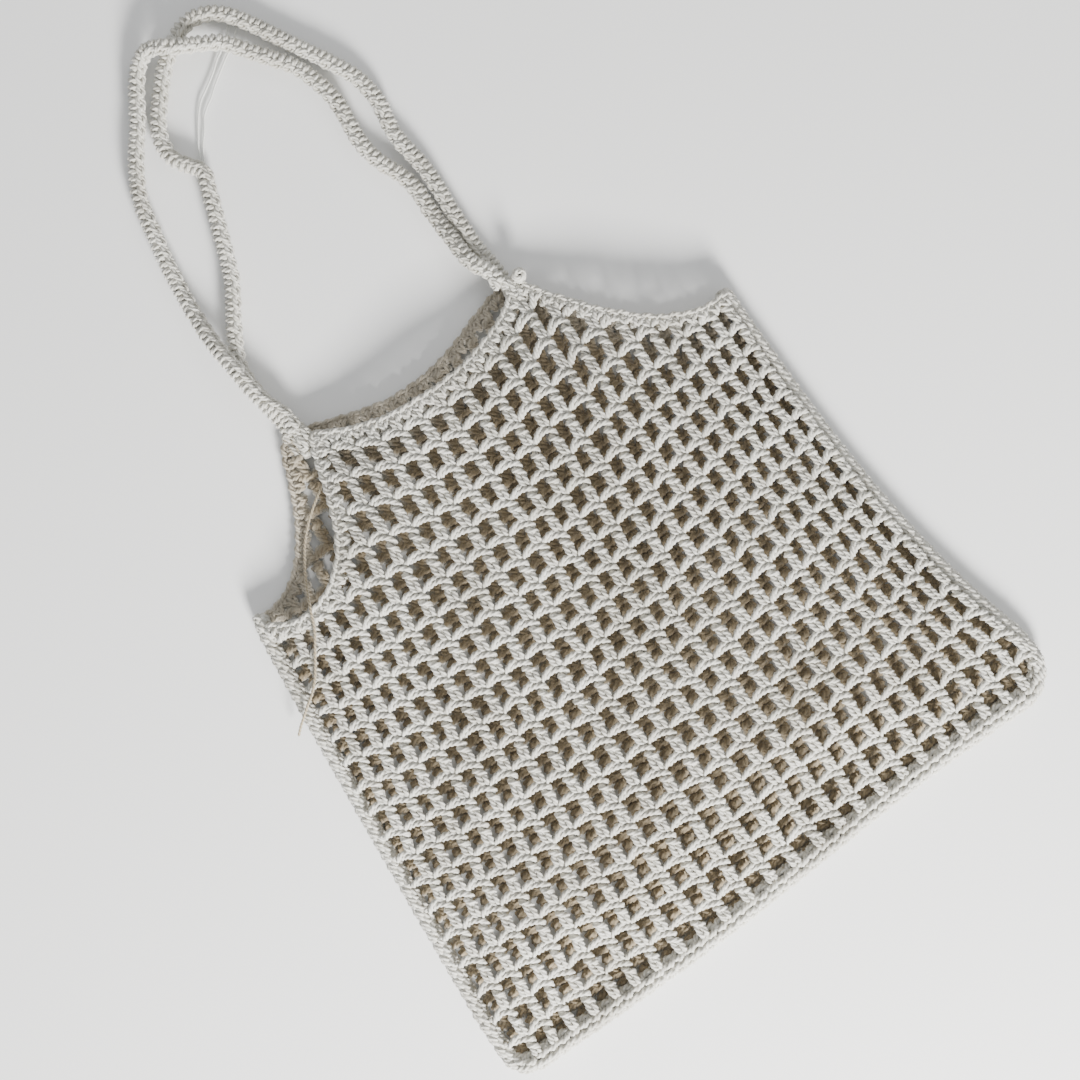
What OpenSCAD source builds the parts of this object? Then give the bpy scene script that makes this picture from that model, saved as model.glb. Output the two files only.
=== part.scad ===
// Crocheted filet-mesh produce bag, lying flat on its back.
// X runs across the bag, Y from its base to its handles, and Z up from the surface it lies on.

/* [Bag body] */
// Width across the base
base_width = 390; // [360:2:410]
// Width across the two top side corners
corner_width = 336; // [310:2:350]
// Height of the side corners above the base
corner_height = 308; // [290:2:320]
// Height of the shoulders above the base
shoulder_height = 386; // [376:2:396]
// How much higher the right end of the base lies than the left end
base_lift = 10; // [0:1:14]
// How far the front panel stands up off the back panel in the middle
front_bulge = 14; // [10:1:18]

/* [Shoulders, neckline and armholes] */
// Distance of the front left shoulder from the centre line
front_left_shoulder = 82; // [78:1:86]
// Distance of the back left shoulder from the centre line
back_left_shoulder = 97; // [92:1:98]
// Distance of both right shoulders from the centre line
right_shoulder = 68; // [64:1:70]
// Dip of the front neckline below the shoulders
front_neck_dip = 29; // [24:1:34]
// Dip of the back neckline below the shoulders
back_neck_dip = 18; // [12:1:22]

/* [Crochet work] */
// Thickness of the open mesh
mesh_thickness = 5; // [4:0.5:5]
// Width of the crocheted rims
rim_width = 8; // [7:0.5:9]
// Thickness of the crocheted rims
rim_thickness = 6.4; // [5:0.2:6.4]
// Width of the solid band along the base
band_width = 13; // [11:1:14]
// Thickness of the solid band along the base
band_thickness = 14; // [12:1:15]
// Width of the seams down the sides
seam_width = 9; // [8:0.5:10]
// Thickness of the seams down the sides
seam_thickness = 11; // [9:0.5:12]
// Thickness of the round handles
handle_width = 9.5; // [8:0.5:10]

/* [Hidden] */

yarn = "#dbd8cf";
shaded_yarn = "#b9b2a2";
tail_yarn = "#b3a486";
thread_white = "#e6e6e2";

back_rim_level = rim_thickness / 2;
// Height of the front panel's middle surface where it is lowest, along its edges
front_level = 10;
// Gap between the front panel and the pieces around it, which it hinges past
body_gap = 0.6;
// How far from a shoulder the front panel is gathered down
shoulder_gather = 35;
// How far above the base band the front panel reaches its full bulge
base_rise_length = 70;
// How much wider each side would be at the base if nothing held it in, and how its curve bends
left_flare = 30;
left_flare_power = 0.85;
right_flare = 43;
right_flare_power = 3;
// Radius of the middle line of the base band where it turns each corner
left_corner_radius = 12;
right_corner_radius = 20;
// How far above the base the side seams begin, and how far below the side corners they end
seam_start = 40;
seam_stop = 12;
// Clear length between a shoulder's middle and the neckline rim beside it
rim_gap = 7;
handle_end = 3.2;
tail_thickness = 1.6;
thread_thickness = 1.2;

// Each armhole: how sharply it turns, and how far it dips below the side corner
left_front_turn = 7;
left_front_dip = 26;
left_back_turn = 2.7;
left_back_dip = 2;
right_turn = 2.2;
right_dip = 6;
// Each neckline's shape: below 1 it is broad like a U, and above 1 narrow like a V
front_neck_power = 0.7;
back_neck_power = 2;

// Handle routes as [x, distance past the shoulders, z]. The front handle lies over the back one.
front_route = [
    [-84, 7, 12], [-90, 24, 14.2], [-92, 45, 15.4], [-94, 69, 11], [-93, 95, 6], [-90, 119, 5],
    [-86, 140, 5], [-81, 160, 5], [-71, 178, 5], [-58, 195, 5], [-46, 213, 5], [-38, 222, 6],
    [-30, 225, 9], [-22, 221, 14.2], [-15, 216, 15.4], [-5, 212, 11], [9, 205, 8], [18, 194, 7],
    [28, 181, 6], [36, 170, 5], [41, 157, 5], [44, 139, 5], [42, 115, 5], [44, 99, 5], [52, 78, 5],
    [52.5, 54, 5], [53, 35, 8.5], [54, 19, 11.5], [60, 7, 12]
];
back_route = [
    [-88, 7, 3.6], [-90, 24, 4.6], [-90, 45, 5], [-80, 66, 5], [-65, 90, 5], [-55, 115, 5],
    [-46, 140, 5], [-42.5, 150, 5], [-46, 157, 5], [-51, 164, 5], [-53, 172, 5], [-52, 180, 5],
    [-48, 188, 5], [-42, 196, 5], [-34, 205, 5], [-26, 213, 5], [-18, 219, 5], [-10, 224, 5],
    [-1, 227, 5], [8, 226, 5], [16, 222, 5], [23, 215, 5], [30, 204, 5], [36, 193, 5],
    [42, 182, 5], [49, 170, 5], [56, 157, 5], [62, 143, 5], [64, 127, 5], [62, 115, 5],
    [61, 102, 5], [64, 76, 5], [62.5, 50, 5], [62, 26, 4.6], [64, 7, 3.6]
];
// Loose end of yarn, from under the front left armhole rim and out over the side seam
tail_route = [
    [-86, 350, 11], [-92, 347, 10], [-100, 342, 9], [-108, 336, 8.6], [-117, 327, 8.6],
    [-124, 317, 8.8], [-128, 310, 11], [-131, 302, 17.5], [-133, 296, 22], [-135, 291, 23.2],
    [-139, 282, 22.8], [-146, 272, 21.6], [-154, 261, 19.6], [-161, 254, 18.4], [-167, 250, 16.6],
    [-173, 246, 13], [-179, 242, 9.6], [-184, 238, 6.5]
];
// Two fine threads tied across the back handle, as [x, distance past the shoulders, z]
thread_a_route = [
    [-40, 155, 0.8], [-37, 160, 0.8], [-33, 166, 0.8], [-28, 172, 0.8], [-24, 178, 0.8],
    [-19, 182, 0.8], [-14, 185, 0.8], [-9, 189, 0.8], [-3, 193, 0.8], [3, 197, 0.8],
    [8, 200, 0.8], [13, 203, 0.8], [17, 206, 0.8], [20, 209, 0.8], [22, 211, 0.8]
];
thread_b_route = [
    [-40, 158, 0.8], [-37, 165, 0.8], [-33, 171, 0.8], [-29, 177, 0.8], [-25, 182, 0.8],
    [-20, 187, 0.8], [-15, 190, 0.8], [-10, 193, 0.8], [-4, 197, 0.8], [1, 201, 0.8],
    [6, 204, 0.8], [10, 207, 0.8], [13, 209, 0.8], [16, 212, 0.8], [18, 214, 0.8]
];

bag_length = shoulder_height + max([for (point = back_route) point[1]]) + handle_width / 2;

function unit(v) = v / norm(v);
function clamp01(v) = max(0, min(1, v));
function smooth(v) = let (c = clamp01(v)) c * c * (3 - 2 * c);
function past_shoulders(route) = [for (p = route) [p[0], p[1] + shoulder_height, p[2]]];

// Half width of the body at a height: nearly straight on the left, waisted on the right
function half_width(side, y) =
    let (left_over = max(0, 1 - y / corner_height),
         flare = side < 0 ? left_flare * pow(left_over, left_flare_power)
                          : right_flare * pow(left_over, right_flare_power))
    min(base_width / 2, corner_width / 2 + flare);

// Lower edge of the bag, which curls up towards the right
function base_line(x) = base_lift * smooth((x + 90) / 220);

// Where the base band starts to turn a corner, as a distance from the centre line
function corner_radius(side) = side < 0 ? left_corner_radius : right_corner_radius;
function corner_start(side) = base_width / 2 - seam_width / 2 - corner_radius(side);

// A line inside the base band's inner edge by a gap, which rises round both corners
function inner_base(x, gap) =
    let (across = corner_radius(x) - seam_width / 2 - gap,
         up = corner_radius(x) - band_width / 2 - gap,
         beyond = clamp01((abs(x) - corner_start(x)) / across))
    base_line(x) + band_width + gap + up * (1 - sqrt(1 - beyond * beyond));

// Upper outline of a panel: [left shoulder, neck dip, neck power, left armhole turn and dip]
front_outline = [
    front_left_shoulder, front_neck_dip, front_neck_power, left_front_turn, left_front_dip
];
back_outline = [back_left_shoulder, back_neck_dip, back_neck_power, left_back_turn, left_back_dip];

function armhole(x, shoulder, turn, dip) =
    let (u = (abs(x) - shoulder) / (corner_width / 2 - shoulder))
    corner_height + (shoulder_height - corner_height) * pow(1 - min(1, u), turn)
    - dip * sin(180 * clamp01(u)) * clamp01(u);
function neckline(x, outline) =
    let (middle = (right_shoulder - outline[0]) / 2,
         v = (x - middle) / ((right_shoulder + outline[0]) / 2))
    shoulder_height - outline[1] * pow(max(0, 1 - v * v), outline[2]);
function side_armhole(side, x, outline) =
    side < 0 ? armhole(x, outline[0], outline[3], outline[4])
             : armhole(x, right_shoulder, right_turn, right_dip);
function in_neck(x, outline) = x > -outline[0] && x < right_shoulder;

// The outline moved inwards by a distance measured square to it
function moved_in(x, outline, distance) =
    let (step = 0.5,
         neck_slope = (neckline(x + step, outline) - neckline(x - step, outline)) / (2 * step),
         arm_right = side_armhole(x, x + step, outline),
         arm_slope = (arm_right - side_armhole(x, x - step, outline)) / (2 * step),
         neck = neckline(x, outline) - distance * sqrt(1 + neck_slope * neck_slope),
         arm = side_armhole(x, x, outline) - distance * sqrt(1 + arm_slope * arm_slope))
    in_neck(x, outline) ? min(neck, arm) : arm;

// Height of the front panel's middle surface: it bulges, and is gathered down at the shoulders
function gather(x, y) =
    let (left = norm([x + front_left_shoulder, y - shoulder_height]),
         right = norm([x - right_shoulder, y - shoulder_height]),
         nearest = min(left, right))
    1 - 0.9 * exp(-nearest * nearest / (2 * shoulder_gather * shoulder_gather));
function front_height(x, y) =
    let (s = x / half_width(x, y), rise = smooth((y - base_line(x) - band_width) / base_rise_length))
    front_level + front_bulge * (1 - pow(min(1, abs(s)), 4)) * (0.15 + 0.85 * rise) * gather(x, y);

// Points along a rim: a stretch of the outline moved in by half a rim's width
function rim_path(outline, from_x, to_x, steps) = [
    for (i = [0:steps])
        let (x = from_x + (to_x - from_x) * i / steps)
        [x, moved_in(x, outline, rim_width / 2)]
];
function on_back(path) = [for (p = path) [p[0], p[1], back_rim_level]];
function on_front(path) = [for (p = path) [p[0], p[1], front_height(p[0], p[1])]];

// Moves a solid so that the origin is under the middle of the whole bag
module placed() {
    translate([0, -bag_length / 2, 0]) children();
}

// Solid swept along a path, with a half width and a half height for each point
function tangent(path, i) = unit(path[min(i + 1, len(path) - 1)] - path[max(i - 1, 0)]);
function ring(path, i, half_w, half_h, sides) =
    let (t = tangent(path, i), across = unit(cross(t, [0, 0, 1])), up = cross(across, t))
    [for (k = [0:sides - 1]) let (a = 360 * k / sides)
        path[i] + across * half_w * cos(a) + up * half_h * sin(a)];
module swept(path, half_w, half_h, sides = 10) {
    last = len(path) - 1;
    rings = [for (i = [0:last]) each ring(path, i, half_w[i], half_h[i], sides)];
    walls = [for (i = [0:last - 1], k = [0:sides - 1])
        let (a = i * sides + k, b = i * sides + (k + 1) % sides)
        [a, a + sides, b + sides, b]];
    start_cap = [[for (k = [0:sides - 1]) k]];
    end_cap = [[for (k = [sides - 1:-1:0]) last * sides + k]];
    polyhedron(rings, concat(start_cap, walls, end_cap), convexity = 8);
}
function same(path, value) = [for (p = path) value];
module rim(path) {
    swept(path, same(path, rim_width / 2), same(path, rim_thickness / 2));
}

// Round cord along a route, thinner at both ends if an end size is given
module round_cord(route, size, end_half, sides) {
    last = len(route) - 1;
    halves = [for (i = [0:last])
        let (from_end = min(i, last - i))
        from_end == 0 ? end_half : from_end == 1 ? (end_half + size / 2) / 2 : size / 2];
    swept(route, halves, halves, sides);
}

module base_band() {
    path = [for (i = [0:24])
        let (x = -corner_start(-1) + (corner_start(-1) + corner_start(1)) * i / 24)
        [x, base_line(x) + band_width / 2, band_thickness / 2]];
    color(yarn) placed() swept(path, same(path, band_width / 2), same(path, band_thickness / 2));
}

// Where the base turns the corner, narrows and becomes the side seam
module base_corner(side) {
    radius = corner_radius(side);
    low = base_line(side * base_width / 2);
    seam_x = half_width(side, low + seam_start) - seam_width / 2;
    turns = [0:15:90];
    half_w = [for (a = turns) band_width / 2 + (seam_width - band_width) / 2 * a / 90];
    half_h = [for (a = turns) band_thickness / 2 + (seam_thickness - band_thickness) / 2 * a / 90];
    arc = [for (a = turns)
        [side * (corner_start(side) + radius * sin(a)),
         low + band_width / 2 + radius * (1 - cos(a)), half_h[a / 15]]];
    path = concat(arc, [[side * seam_x, low + seam_start, seam_thickness / 2]]);
    color(yarn) placed()
        swept(path, concat(half_w, [seam_width / 2]), concat(half_h, [seam_thickness / 2]));
}
module left_base_corner() { base_corner(-1); }
module right_base_corner() { base_corner(1); }

module side_seam(side) {
    low = base_line(side * base_width / 2) + seam_start;
    high = corner_height - seam_stop;
    path = [for (i = [0:12])
        let (y = low + (high - low) * i / 12)
        [side * (half_width(side, y) - seam_width / 2), y, seam_thickness / 2]];
    color(yarn) placed() swept(path, same(path, seam_width / 2), same(path, seam_thickness / 2));
}
module left_side_seam() { side_seam(-1); }
module right_side_seam() { side_seam(1); }

// Small point where a side seam ends and the front and back armhole rims meet
module top_corner(side) {
    half = seam_width / 2;
    level = seam_thickness / 2;
    path = [
        [side * (corner_width / 2 - half), corner_height - seam_stop, level],
        [side * (corner_width / 2 - half), corner_height - 5, level],
        [side * (corner_width / 2 - 4), corner_height, 5]
    ];
    color(yarn) placed() swept(path, [half, half, 3], [level, level, 4]);
}
module left_top_corner() { top_corner(-1); }
module right_top_corner() { top_corner(1); }

// Flat open mesh of the back, without its holes
module back_mesh() {
    side_in = seam_width - 1;
    top_in = rim_width / 2;
    reach = corner_width / 2 - side_in;
    low_reach = base_width / 2 - seam_width;
    top = [for (i = [0:60])
        let (x = -reach + 2 * reach * i / 60)
        [x, moved_in(x, back_outline, top_in)]];
    right = [for (y = [270:-30:30]) [half_width(1, y) - side_in, y]];
    bottom = [for (i = [0:24])
        let (x = low_reach - 2 * low_reach * i / 24)
        [x, inner_base(x, -2)]];
    left = [for (y = [30:30:270]) [-half_width(-1, y) + side_in, y]];
    color(shaded_yarn) placed()
        linear_extrude(mesh_thickness) polygon(concat(top, right, bottom, left));
}

module back_neck_rim() {
    left_end = -back_left_shoulder + rim_gap;
    path = on_back(rim_path(back_outline, left_end, right_shoulder - rim_gap, 20));
    color(shaded_yarn) placed() rim(path);
}
module back_left_armhole_rim() {
    path = on_back(rim_path(back_outline, -corner_width / 2 + 9, -back_left_shoulder, 20));
    color(shaded_yarn) placed() rim(path);
}
module back_right_armhole_rim() {
    path = on_back(rim_path(back_outline, corner_width / 2 - 9, right_shoulder, 20));
    color(shaded_yarn) placed() rim(path);
}

// Gathered stitches between a shoulder and its handle
module shoulder_join(x, z) {
    path = [[x, shoulder_height - 18, z], [x, shoulder_height - 9, z], [x, shoulder_height - 1.5, z]];
    color(yarn) placed() swept(path, [7, 5.5, 3.6], [3.2, 3.2, 3.2]);
}
module back_left_shoulder_join() { shoulder_join(-back_left_shoulder + 7, back_rim_level); }
module back_right_shoulder_join() { shoulder_join(right_shoulder - 4, back_rim_level); }
module front_left_shoulder_join() { shoulder_join(-front_left_shoulder, front_level + 1.6); }
module front_right_shoulder_join() { shoulder_join(right_shoulder - 4, front_level + 1.6); }

// Bulged open mesh of the front, without its holes: columns run up from the base to the outline
module front_mesh() {
    columns = 32;
    rows = 14;
    side_in = seam_width + body_gap;
    middle = [for (i = [0:columns])
        let (s = 2 * i / columns - 1,
             top_x = s * (corner_width / 2 - side_in),
             top_y = moved_in(top_x, front_outline, rim_width / 2),
             low_x = s * (base_width / 2 - side_in),
             low_y = inner_base(low_x, body_gap))
        [for (j = [0:rows])
            let (y = low_y + (top_y - low_y) * j / rows,
                 x = s * (half_width(s, y) - side_in))
            [x, y, front_height(x, y)]]];
    color(yarn) placed() curved_plate(middle, mesh_thickness);
}

// Closed plate of one thickness around a grid of points, grid[column][row]
module curved_plate(grid, thickness) {
    columns = len(grid) - 1;
    rows = len(grid[0]) - 1;
    layer = (columns + 1) * (rows + 1);
    function at(i, j) = i * (rows + 1) + j;
    lower = [for (column = grid) for (p = column) p - [0, 0, thickness / 2]];
    upper = [for (column = grid) for (p = column) p + [0, 0, thickness / 2]];
    cells = [for (i = [0:columns - 1], j = [0:rows - 1]) [i, j]];
    lower_faces = [for (c = cells, half = [0, 1])
        let (a = at(c[0], c[1]), b = at(c[0] + 1, c[1]),
             d = at(c[0], c[1] + 1), e = at(c[0] + 1, c[1] + 1))
        half == 0 ? [a, b, e] : [a, e, d]];
    upper_faces = [for (f = lower_faces) [f[2] + layer, f[1] + layer, f[0] + layer]];
    edge = concat(
        [for (i = [0:columns]) at(i, 0)],
        [for (j = [1:rows]) at(columns, j)],
        [for (i = [columns - 1:-1:0]) at(i, rows)],
        [for (j = [rows - 1:-1:1]) at(0, j)]
    );
    walls = [for (k = [0:len(edge) - 1], half = [0, 1])
        let (a = edge[k], b = edge[(k + 1) % len(edge)])
        half == 0 ? [a, a + layer, b + layer] : [a, b + layer, b]];
    polyhedron(concat(lower, upper), concat(lower_faces, upper_faces, walls), convexity = 8);
}

module front_neck_rim() {
    left_end = -front_left_shoulder + rim_gap;
    path = on_front(rim_path(front_outline, left_end, right_shoulder - rim_gap, 20));
    color(yarn) placed() rim(path);
}
module front_left_armhole_rim() {
    path = on_front(rim_path(front_outline, -corner_width / 2 + 10, -front_left_shoulder, 26));
    color(yarn) placed() rim(path);
}
module front_right_armhole_rim() {
    path = on_front(rim_path(front_outline, corner_width / 2 - 10, right_shoulder, 20));
    color(yarn) placed() rim(path);
}

// Fastened-off end of the yarn, a small bead of stitches beside the front right shoulder
module shoulder_knot() {
    color(yarn) placed()
        translate([right_shoulder + 4, shoulder_height - 4, front_level + 5])
            sphere(r = 4.5, $fn = 32);
}

module handle(route) {
    color(yarn) placed() round_cord(past_shoulders(route), handle_width, handle_end, 12);
}
module front_handle() { handle(front_route); }
module back_handle() { handle(back_route); }

module yarn_tail() {
    color(tail_yarn) placed() round_cord(tail_route, tail_thickness, tail_thickness / 2, 8);
}
module tag_thread(route) {
    color(thread_white) placed()
        round_cord(past_shoulders(route), thread_thickness, thread_thickness / 2, 8);
}
module tag_thread_a() { tag_thread(thread_a_route); }
module tag_thread_b() { tag_thread(thread_b_route); }

base_band();
left_base_corner();
right_base_corner();
left_side_seam();
right_side_seam();
left_top_corner();
right_top_corner();
back_mesh();
back_neck_rim();
back_left_armhole_rim();
back_right_armhole_rim();
back_left_shoulder_join();
back_right_shoulder_join();
front_mesh();
front_neck_rim();
front_left_armhole_rim();
front_right_armhole_rim();
front_left_shoulder_join();
front_right_shoulder_join();
shoulder_knot();
front_handle();
back_handle();
yarn_tail();
tag_thread_a();
tag_thread_b();
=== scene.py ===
"""Looks of a crocheted mesh produce bag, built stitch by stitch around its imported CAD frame.

Sizes in the stitch patterns are in millimetres, and every other length is in metres.
"""

import math

import bpy
import numpy as np
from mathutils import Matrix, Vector


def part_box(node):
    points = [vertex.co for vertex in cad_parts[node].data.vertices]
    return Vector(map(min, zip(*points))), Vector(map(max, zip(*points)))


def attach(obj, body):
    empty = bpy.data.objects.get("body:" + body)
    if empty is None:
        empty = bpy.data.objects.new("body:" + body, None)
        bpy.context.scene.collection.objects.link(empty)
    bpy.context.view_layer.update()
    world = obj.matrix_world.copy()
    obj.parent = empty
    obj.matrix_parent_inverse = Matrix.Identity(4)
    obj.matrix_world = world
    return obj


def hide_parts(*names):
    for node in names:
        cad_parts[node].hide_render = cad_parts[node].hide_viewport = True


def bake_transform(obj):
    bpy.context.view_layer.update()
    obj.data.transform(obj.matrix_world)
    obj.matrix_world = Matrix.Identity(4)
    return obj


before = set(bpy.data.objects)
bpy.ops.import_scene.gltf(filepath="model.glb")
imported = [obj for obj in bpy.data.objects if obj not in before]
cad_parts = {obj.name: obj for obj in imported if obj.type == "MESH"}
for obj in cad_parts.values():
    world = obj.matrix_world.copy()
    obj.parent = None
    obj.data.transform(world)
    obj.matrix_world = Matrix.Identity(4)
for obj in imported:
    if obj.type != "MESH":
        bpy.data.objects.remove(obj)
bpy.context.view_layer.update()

MM = 0.001
SEED = 11


# ---------------------------------------------------------------- sizes taken from the frame

def middle_x(node):
    low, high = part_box(node)
    return (low.x + high.x) / 2


BASE_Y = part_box("base_band")[0].y
HALF_BASE = -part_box("left_base_corner")[0].x
HALF_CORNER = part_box("right_top_corner")[1].x
CORNER_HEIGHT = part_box("right_top_corner")[1].y - BASE_Y
JOIN_TOP_GAP = 1.5 * MM
SHOULDER_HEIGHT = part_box("front_left_shoulder_join")[1].y - BASE_Y + JOIN_TOP_GAP
SHOULDER_Y = SHOULDER_HEIGHT + BASE_Y
FRONT_LEFT = -middle_x("front_left_shoulder_join")
BACK_LEFT = -middle_x("back_left_shoulder_join") + 7 * MM
RIGHT = middle_x("back_right_shoulder_join") + 4 * MM
BAND_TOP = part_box("base_band")[1].z
SEAM_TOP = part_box("left_side_seam")[1].z

# The same shape values as the CAD model
BASE_LIFT = 10 * MM
FRONT_LEVEL = 10 * MM
FRONT_BULGE = 14 * MM
SHOULDER_GATHER = 35 * MM
BASE_RISE = 70 * MM
BAND_WIDTH = 13 * MM
SEAM_WIDTH = 9 * MM
RIM_WIDTH = 8 * MM
HANDLE_WIDTH = 9.5 * MM
SEAM_START = 40 * MM
SEAM_STOP = 12 * MM
LEFT_FLARE = 30 * MM
LEFT_FLARE_POWER = 0.85
RIGHT_FLARE = 43 * MM
RIGHT_FLARE_POWER = 3
LEFT_CORNER_RADIUS = 12 * MM
RIGHT_CORNER_RADIUS = 20 * MM
BACK_RIM_LEVEL = 3.2 * MM

# Upper outlines: left shoulder, neck dip, neck power, left armhole turn, left armhole dip
FRONT_OUTLINE = (FRONT_LEFT, 29 * MM, 0.7, 7, 26 * MM)
BACK_OUTLINE = (BACK_LEFT, 18 * MM, 2, 2.7, 2 * MM)
RIGHT_TURN = 2.2
RIGHT_DIP = 6 * MM

# Routes repeated from the CAD model: x, distance past the shoulders, z
FRONT_ROUTE = [
    (-0.084, 0.007, 0.012), (-0.090, 0.024, 0.0142), (-0.092, 0.045, 0.0154), (-0.094, 0.069, 0.011),
    (-0.093, 0.095, 0.006), (-0.090, 0.119, 0.005), (-0.086, 0.140, 0.005), (-0.081, 0.160, 0.005),
    (-0.071, 0.178, 0.005), (-0.058, 0.195, 0.005), (-0.046, 0.213, 0.005), (-0.038, 0.222, 0.006),
    (-0.030, 0.225, 0.009), (-0.022, 0.221, 0.0142), (-0.015, 0.216, 0.0154), (-0.005, 0.212, 0.011),
    (0.009, 0.205, 0.008), (0.018, 0.194, 0.007), (0.028, 0.181, 0.006), (0.036, 0.170, 0.005),
    (0.041, 0.157, 0.005), (0.044, 0.139, 0.005), (0.042, 0.115, 0.005), (0.044, 0.099, 0.005),
    (0.052, 0.078, 0.005), (0.0525, 0.054, 0.005), (0.053, 0.035, 0.0085), (0.054, 0.019, 0.0115),
    (0.060, 0.007, 0.012),
]
BACK_ROUTE = [
    (-0.088, 0.007, 0.0036), (-0.090, 0.024, 0.0046), (-0.090, 0.045, 0.005), (-0.080, 0.066, 0.005),
    (-0.065, 0.090, 0.005), (-0.055, 0.115, 0.005), (-0.046, 0.140, 0.005), (-0.0425, 0.150, 0.005),
    (-0.046, 0.157, 0.005), (-0.051, 0.164, 0.005), (-0.053, 0.172, 0.005), (-0.052, 0.180, 0.005),
    (-0.048, 0.188, 0.005), (-0.042, 0.196, 0.005), (-0.034, 0.205, 0.005), (-0.026, 0.213, 0.005),
    (-0.018, 0.219, 0.005), (-0.010, 0.224, 0.005), (-0.001, 0.227, 0.005), (0.008, 0.226, 0.005),
    (0.016, 0.222, 0.005), (0.023, 0.215, 0.005), (0.030, 0.204, 0.005), (0.036, 0.193, 0.005),
    (0.042, 0.182, 0.005), (0.049, 0.170, 0.005), (0.056, 0.157, 0.005), (0.062, 0.143, 0.005),
    (0.064, 0.127, 0.005), (0.062, 0.115, 0.005), (0.061, 0.102, 0.005), (0.064, 0.076, 0.005),
    (0.0625, 0.050, 0.005), (0.062, 0.026, 0.0046), (0.064, 0.007, 0.0036),
]
THREAD_A_ROUTE = [
    (-0.040, 0.155, 0.0008), (-0.037, 0.160, 0.0008), (-0.033, 0.166, 0.0008),
    (-0.028, 0.172, 0.0008), (-0.024, 0.178, 0.0008), (-0.019, 0.182, 0.0008),
    (-0.014, 0.185, 0.0008), (-0.009, 0.189, 0.0008), (-0.003, 0.193, 0.0008),
    (0.003, 0.197, 0.0008), (0.008, 0.200, 0.0008), (0.013, 0.203, 0.0008),
    (0.017, 0.206, 0.0008), (0.020, 0.209, 0.0008), (0.022, 0.211, 0.0008),
]
THREAD_B_ROUTE = [
    (-0.040, 0.158, 0.0008), (-0.037, 0.165, 0.0008), (-0.033, 0.171, 0.0008),
    (-0.029, 0.177, 0.0008), (-0.025, 0.182, 0.0008), (-0.020, 0.187, 0.0008),
    (-0.015, 0.190, 0.0008), (-0.010, 0.193, 0.0008), (-0.004, 0.197, 0.0008),
    (0.001, 0.201, 0.0008), (0.006, 0.204, 0.0008), (0.010, 0.207, 0.0008),
    (0.013, 0.209, 0.0008), (0.016, 0.212, 0.0008), (0.018, 0.214, 0.0008),
]
# The tail's route: x, distance above the base, z
TAIL_ROUTE = [
    (-0.086, 0.350, 0.011), (-0.092, 0.347, 0.010), (-0.100, 0.342, 0.009), (-0.108, 0.336, 0.0086),
    (-0.117, 0.327, 0.0086), (-0.124, 0.317, 0.0088), (-0.128, 0.310, 0.011), (-0.131, 0.302, 0.0175),
    (-0.133, 0.296, 0.022), (-0.135, 0.291, 0.0232), (-0.139, 0.282, 0.0228), (-0.146, 0.272, 0.0216),
    (-0.154, 0.261, 0.0196), (-0.161, 0.254, 0.0184), (-0.167, 0.250, 0.0166), (-0.173, 0.246, 0.013),
    (-0.179, 0.242, 0.0096), (-0.184, 0.238, 0.0065),
]


# ---------------------------------------------------------------- camera

CAMERA_LENS = 50
SENSOR = 36
VIEW_WIDTH = 0.621
VIEW_MIDDLE = (-0.005, -0.058)
VIEW_ROLL = -35


def make_camera():
    data = bpy.data.cameras.new("camera")
    data.lens = CAMERA_LENS
    data.sensor_width = SENSOR
    camera = bpy.data.objects.new("camera", data)
    bpy.context.scene.collection.objects.link(camera)
    height = VIEW_WIDTH * CAMERA_LENS / SENSOR
    camera.location = (*VIEW_MIDDLE, FRONT_LEVEL + height)
    camera.rotation_euler = (0, 0, math.radians(VIEW_ROLL))
    bpy.context.scene.camera = camera


# ---------------------------------------------------------------- yarn tubes

RING_SPACING = 1.4 * MM
RING_SIDES = 12
PLIES = 3
PLY_DEPTH = 0.2
TURN_LENGTH = 9.5 * MM
MESH_YARN = 1.5 * MM
# Drawn thicker than the front's, so that less of the floor shows through both panels' holes
BACK_YARN = 2.1 * MM
BAND_YARN = 1.9 * MM


def unit(v):
    return v / np.maximum(np.linalg.norm(v, axis=-1, keepdims=True), 1e-12)


def smooth(v):
    c = np.clip(v, 0, 1)
    return c * c * (3 - 2 * c)


def through(points, spacing, per_span=24):
    """Points about every spacing along a Catmull-Rom curve through the given ones."""
    p = np.array(points, float)
    p = np.vstack([2 * p[0] - p[1], p, 2 * p[-1] - p[-2]])
    t = np.linspace(0, 1, per_span, endpoint=False)[:, None]
    spans = []
    for a, b, c, d in zip(p[:-3], p[1:-2], p[2:-1], p[3:]):
        cubic = (-a + 3 * b - 3 * c + d) * t**3 + (2 * a - 5 * b + 4 * c - d) * t**2
        spans.append(0.5 * (cubic + (c - a) * t + 2 * b))
    dense = np.vstack([*spans, p[-2:-1]])
    along = arc_length(dense)
    count = max(3, round(along[-1] / spacing) + 1)
    wanted = np.linspace(0, along[-1], count)
    return np.stack([np.interp(wanted, along, dense[:, k]) for k in range(dense.shape[1])], 1)


def arc_length(points):
    steps = np.linalg.norm(np.diff(points, axis=0), axis=1)
    return np.concatenate([[0], np.cumsum(steps)])


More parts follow.
